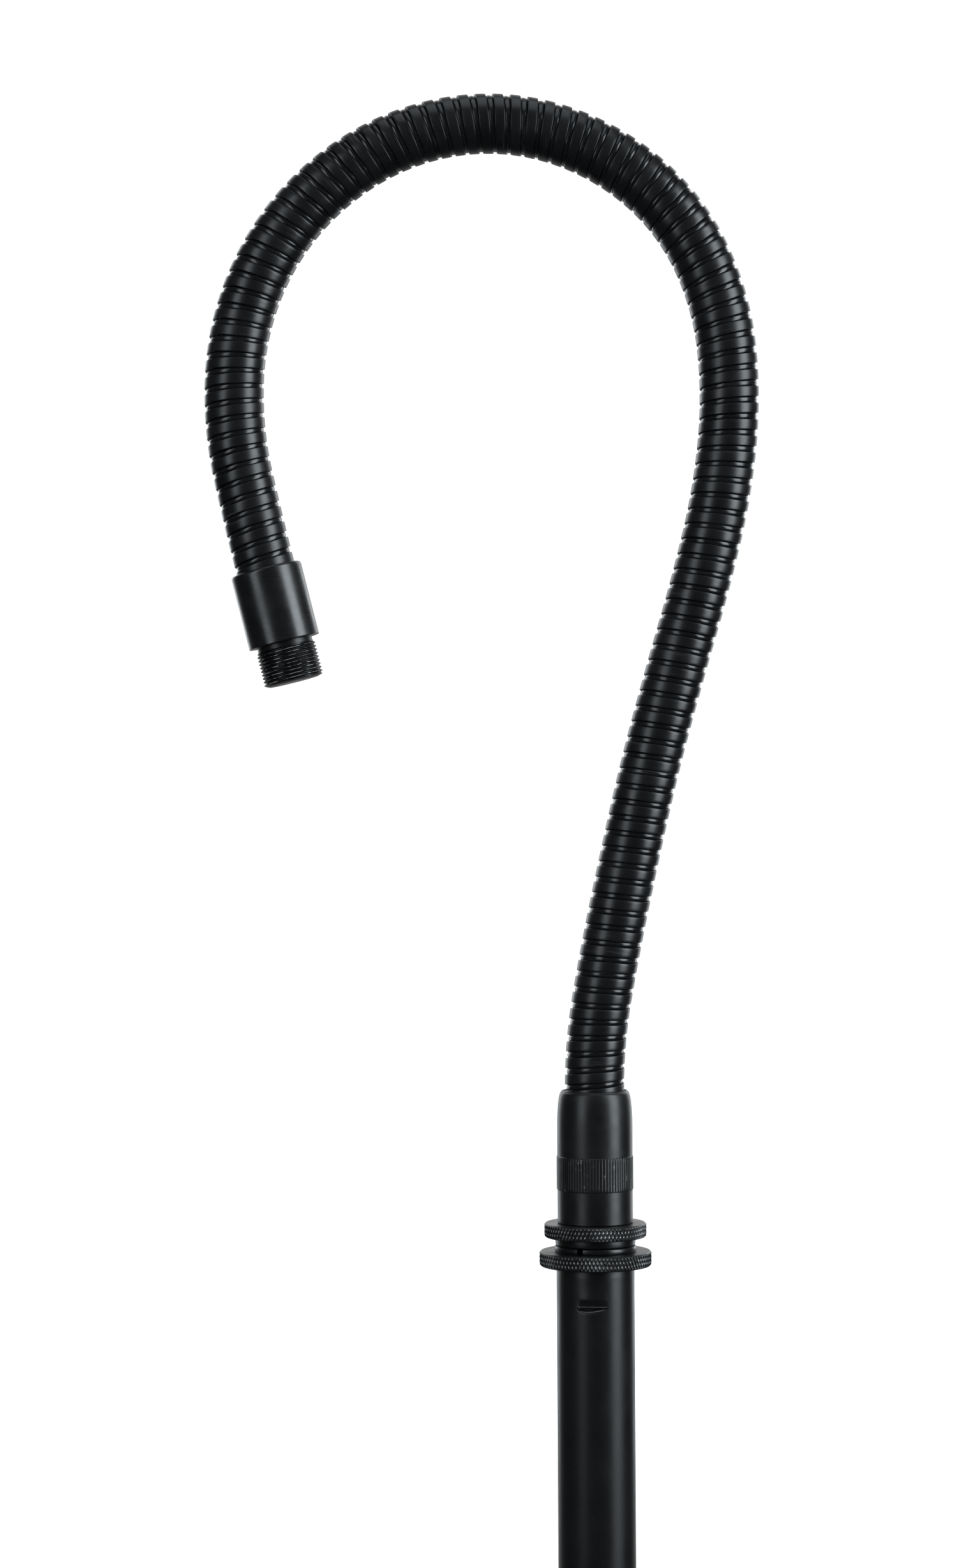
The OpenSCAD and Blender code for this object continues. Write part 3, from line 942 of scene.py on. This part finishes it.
class GOOSENECK_OT_round_wire(bpy.types.Operator):
    """Inner round wire of the hose, which shows as a bead in every groove"""

    bl_idname = "gooseneck.round_wire"
    bl_label = "Round Wire"

    def execute(self, context):
        """A round section wound so that its outermost point lies a little below the bands."""
        sizes = context.scene.gooseneck_hose
        radius = sizes.wire_width / 2
        angle = np.arange(18) * TURN / 18
        section = radius * np.stack([np.cos(angle), np.sin(angle)], -1)
        finish = context.scene.gooseneck_finish
        material = drawn_wire("round_wire_oxide", lighter(finish.oxide, 1.5), finish.bare, 0.22, 0.12)
        middle, phase = sizes.bead_width / 2 - radius, sizes.start + math.pi
        hose_pieces(context, "round_wire", section, middle, phase, material, "inner_wire")
        return {"FINISHED"}


class GOOSENECK_OT_free_end(bpy.types.Operator):
    """End sleeve and threaded stud at the hose's free end"""

    bl_idname = "gooseneck.free_end"
    bl_label = "Free End"

    def execute(self, context):
        """Outlines turned about the Z axis, then stood along the hose's line at its end."""
        sizes = context.scene.gooseneck_fitting
        outer, length = sizes.sleeve_width / 2, sizes.sleeve_length
        side, rise = 0.6 * MM, 0.9 * MM
        hose = context.scene.gooseneck_hose.hose_width / 2 + 0.1 * MM
        outline = trace(
            ((hose, 0.25 * MM), 1), ((hose + 0.15 * MM, 0.06 * MM), 1), ((outer - 0.8 * MM, 0), 1),
            *quarter((outer - side, rise), (side, rise), -88, 0, 12),
            ((outer, 2.2 * MM), 8), ((outer, length - 0.14 * MM), 2), ((outer - 0.14 * MM, length), 3),
            ((hose + 0.2 * MM, length), 1), ((hose, length - 0.2 * MM), 8), ((hose, 1 * MM), 1))
        sleeve = skin("sleeve", stood(turned(outline, 192)), loop=True, sharp=40)
        plating = plated(context, "sleeve_plating", 0.29, 0.5, 0.75)
        dress(sleeve, plating, "sleeve_black", "link_18", "end_sleeve")

        neck, crest_radius = sizes.relief_width / 2, sizes.thread_width / 2
        base = length + sizes.relief_length
        top = base + sizes.thread_length
        plug, foot, tip = hose - 0.05 * MM, 12.5 * MM, top + 0.5 * MM
        outline = trace(
            ((CORE, foot), 4), ((plug - 0.3 * MM, foot), 1), ((plug, foot + 0.3 * MM), 6),
            ((plug, length), 2),
            ((neck + 0.15 * MM, length), 1), ((neck, length + 0.15 * MM), 4), ((neck, base - 0.1 * MM), 1),
            ((crest_radius - 0.5 * MM, base), 2),
            thread_rows(base + 0.3 * MM, top, crest_radius, sizes.thread_pitch),
            ((crest_radius, top), 8), ((crest_radius - 1.4 * MM, tip), 6), ((CORE, tip), 1))

        def limit(angle, height):
            thread = crest_radius - sizes.thread_depth * screw(angle, height, sizes.thread_pitch)
            return np.where(height > base, thread, FREE)

        grid = turned(outline, 160, limit)
        crest = tip_wear(grid, crest_radius, THREAD_WEAR) * (grid[..., 2] > base)
        stud = skin("stud", stood(grid), sharp=28, crest=crest)
        dress(stud, plated(context, "stud_plating", 0.36), "stud_black", "link_18", "end_stud")
        return {"FINISHED"}


class GOOSENECK_OT_stage(bpy.types.Operator):
    """Pale floor, soft lights and camera"""

    bl_idname = "gooseneck.stage"
    bl_label = "Stage"

    def execute(self, context):
        """A flat round floor, soft lights on each side, behind and above, and a level camera in front."""
        scene, sizes = context.scene, context.scene.gooseneck_stage
        angle = np.arange(96) * TURN / 96
        rings = np.array([0.02, 0.5, 2.0, 9.0])[:, None]
        grid = spun(rings, angle, -0.0002 + 0 * (rings * angle))
        floor = skin("floor", np.concatenate([grid, grid[::-1] - (0, 0, 0.01)]), sharp=60)
        floor.data.materials.append(pale_floor("pale_floor", scene.gooseneck_finish.floor))
        floor.visible_glossy = False

        for name, place, size, power in (
                ("key_box", (1.32, -0.70, 0.62), (0.80, 1.7), sizes.key_power),
                ("fill_box", (-1.00, -1.10, 0.62), (0.55, 1.5), sizes.fill_power),
                ("back_box_left", (-0.75, 1.20, 0.45), (0.40, 1.4), sizes.back_power),
                ("back_box_right", (0.75, 1.20, 0.45), (0.40, 1.4), sizes.back_power),
                ("top_light", (0.0, -0.1, 2.2), (1.6, 1.6), sizes.top_power)):
            light = bpy.data.lights.new(name, "AREA")
            light.shape, light.size, light.size_y, light.energy = "RECTANGLE", size[0], size[1], power
            light.color = LIGHT_COLOUR
            lamp = bpy.data.objects.new(name, light)
            scene.collection.objects.link(lamp)
            lamp.visible_camera = False
            lamp.location = place
            lamp.rotation_euler = aimed(place)

        camera = bpy.data.objects.new("camera", bpy.data.cameras.new("camera"))
        scene.collection.objects.link(camera)
        camera.data.lens = sizes.lens
        camera.location = (sizes.aim_side, -sizes.distance, sizes.aim_height)
        camera.rotation_euler = (math.radians(90), sizes.roll, 0)
        scene.camera = camera
        studio_air(scene)
        return {"FINISHED"}


def aimed(place):
    """Euler angles that point a lamp's -Z from place at the object, with its Y side up."""
    line = np.array(AIM) - place
    flat = math.hypot(line[0], line[1])
    return (math.atan2(flat, -line[2]), 0, math.atan2(line[0], -line[1]) - math.pi)


def smooth_range(tree, direction, numbers):
    """A direction mapped smoothly from its range, the first two numbers, to the range of the last two."""
    node = tree.nodes.new("ShaderNodeMapRange")
    node.interpolation_type = "SMOOTHSTEP"
    for socket, number in zip(RANGE_SOCKETS, numbers):
        node.inputs[socket].default_value = number
    tree.links.new(direction, node.inputs["Value"])
    return node.outputs["Result"]


def studio_air(scene):
    """White surroundings, which the object's gloss sees dark in front, and dimmer below the horizon."""
    scene.view_settings.view_transform = "Standard"
    world = bpy.data.worlds.new("studio_air")
    scene.world = world
    world.use_nodes = True
    tree = world.node_tree
    background = tree.nodes["Background"]
    ray = tree.nodes.new("ShaderNodeLightPath")
    place = tree.nodes.new("ShaderNodeTexCoord")
    parts = tree.nodes.new("ShaderNodeSeparateXYZ")
    tree.links.new(place.outputs["Generated"], parts.inputs["Vector"])
    both = tree.nodes.new("ShaderNodeMath")
    both.operation = "MULTIPLY"
    tree.links.new(smooth_range(tree, parts.outputs["Y"], AIR_ALONG_Y), both.inputs[0])
    tree.links.new(smooth_range(tree, parts.outputs["Z"], AIR_ALONG_Z), both.inputs[1])
    seen = tree.nodes.new("ShaderNodeMix")
    seen.data_type = "RGBA"
    tree.links.new(ray.outputs["Is Glossy Ray"], seen.inputs["Factor"])
    seen.inputs[6].default_value = AIR
    tree.links.new(both.outputs["Value"], seen.inputs[7])
    tree.links.new(seen.outputs[2], background.inputs["Color"])


class GOOSENECK_PT_panel(bpy.types.Panel):
    """Lists the pieces of the arm"""

    bl_idname = "GOOSENECK_PT_panel"
    bl_label = "Gooseneck Arm"
    bl_space_type = "VIEW_3D"
    bl_region_type = "UI"
    bl_category = "Gooseneck"

    def draw(self, context):
        """One button for each operator, and the settings below."""
        for kind in OPERATORS:
            self.layout.operator(kind.bl_idname)
        for group in SETTINGS:
            box = self.layout.box()
            held = getattr(context.scene, group)
            for name in held.__annotations__:
                box.prop(held, name)


SETTINGS = {
    "gooseneck_stand": StandSizes,
    "gooseneck_hose": HoseSizes,
    "gooseneck_fitting": FittingSizes,
    "gooseneck_finish": Finishes,
    "gooseneck_stage": StageSizes,
}
OPERATORS = (
    GOOSENECK_OT_tube,
    GOOSENECK_OT_adapter,
    GOOSENECK_OT_washer,
    GOOSENECK_OT_lock_ring,
    GOOSENECK_OT_base_ferrule,
    GOOSENECK_OT_wedge_wire,
    GOOSENECK_OT_round_wire,
    GOOSENECK_OT_free_end,
    GOOSENECK_OT_stage,
)


def register():
    """Registers the settings, the operators and the panel."""
    for kind in (*SETTINGS.values(), *OPERATORS, GOOSENECK_PT_panel):
        bpy.utils.register_class(kind)
    for name, kind in SETTINGS.items():
        setattr(bpy.types.Scene, name, bpy.props.PointerProperty(type=kind))


def unregister():
    """Removes what register added."""
    for name in SETTINGS:
        delattr(bpy.types.Scene, name)
    for kind in reversed((*SETTINGS.values(), *OPERATORS, GOOSENECK_PT_panel)):
        bpy.utils.unregister_class(kind)


def main():
    """Builds every piece and the stage."""
    register()
    bpy.ops.gooseneck.tube()
    bpy.ops.gooseneck.adapter()
    bpy.ops.gooseneck.washer()
    bpy.ops.gooseneck.lock_ring()
    bpy.ops.gooseneck.base_ferrule()
    bpy.ops.gooseneck.wedge_wire()
    bpy.ops.gooseneck.round_wire()
    bpy.ops.gooseneck.free_end()
    bpy.ops.gooseneck.stage()


if __name__ == "__main__":
    main()
